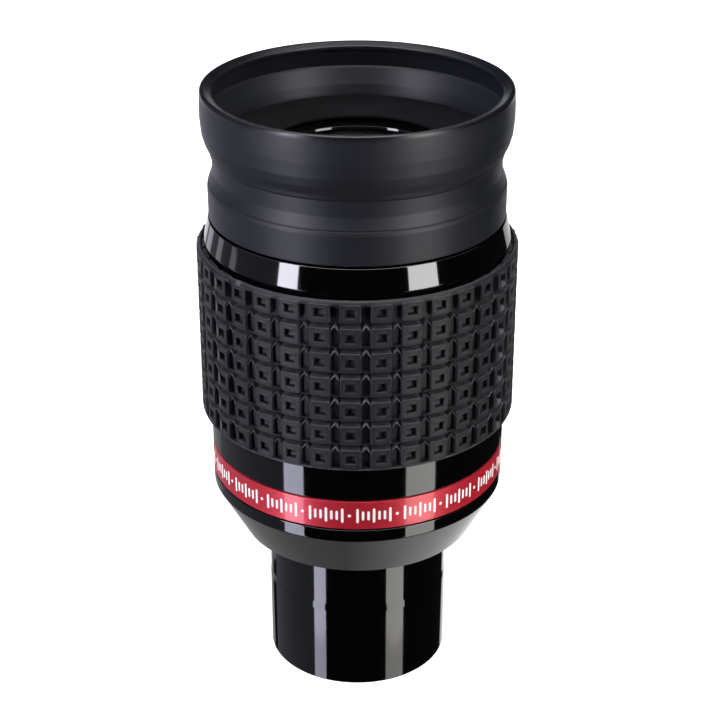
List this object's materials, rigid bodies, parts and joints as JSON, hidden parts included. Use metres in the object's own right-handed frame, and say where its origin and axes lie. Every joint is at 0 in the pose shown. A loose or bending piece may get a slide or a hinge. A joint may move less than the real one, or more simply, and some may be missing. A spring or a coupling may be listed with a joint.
{
  "type": "telescope eyepiece",
  "caption": "Telescope eyepiece: black tubular housing with a fold-down rubber eyecup, waffle rubber grip, red trim band, lens stack and a slim push-fit nosepiece.",
  "frame": {"origin": "centre of the nosepiece's open end face, on the optical axis; the eyepiece stands on that face", "axes": "+Z along the optical axis from the nosepiece towards the eye; +X to the right and +Y away from the viewer, which is only a convention because every part is turned about Z"},
  "size_m": [0.054, 0.054, 0.1067],
  "materials": {
    "gloss_black": "glossy black enamel",
    "black_anodised": "satin",
    "matt_black": "matt black",
    "red_anodised": "satin",
    "grip_rubber": "matt",
    "eyecup_rubber": "matt",
    "lens_glass": "polished"
  },
  "bodies": {
    "housing": {"nosepiece_barrel": "gloss_black", "field_lens_cell": "black_anodised", "field_lens_retainer": "black_anodised", "field_lens_crown": "lens_glass", "field_lens_flint": "lens_glass", "main_housing": "gloss_black", "trim_band": "red_anodised", "upper_housing": "gloss_black", "grip_sleeve": "grip_rubber", "top_plate": "black_anodised", "eyecup_collar": "eyecup_rubber", "eyecup_web": "eyecup_rubber", "lens_cell": "black_anodised", "eye_lens": "lens_glass", "upper_spacer": "black_anodised", "doublet_crown": "lens_glass", "doublet_flint": "lens_glass", "lower_spacer": "black_anodised", "inner_lens": "lens_glass", "cell_retaining_ring": "black_anodised", "field_stop_ring": "matt_black"},
    "eyecup_rim": {"eyecup_rim": "eyecup_rubber"}
  },
  "joints": [
    {"name": "eyecup_fold", "type": "slide", "parent": "housing", "child": "eyecup_rim", "axis": [0, 0, -1], "range_m": [0, 0.0095], "deforming": ["eyecup_web"]}
  ]
}
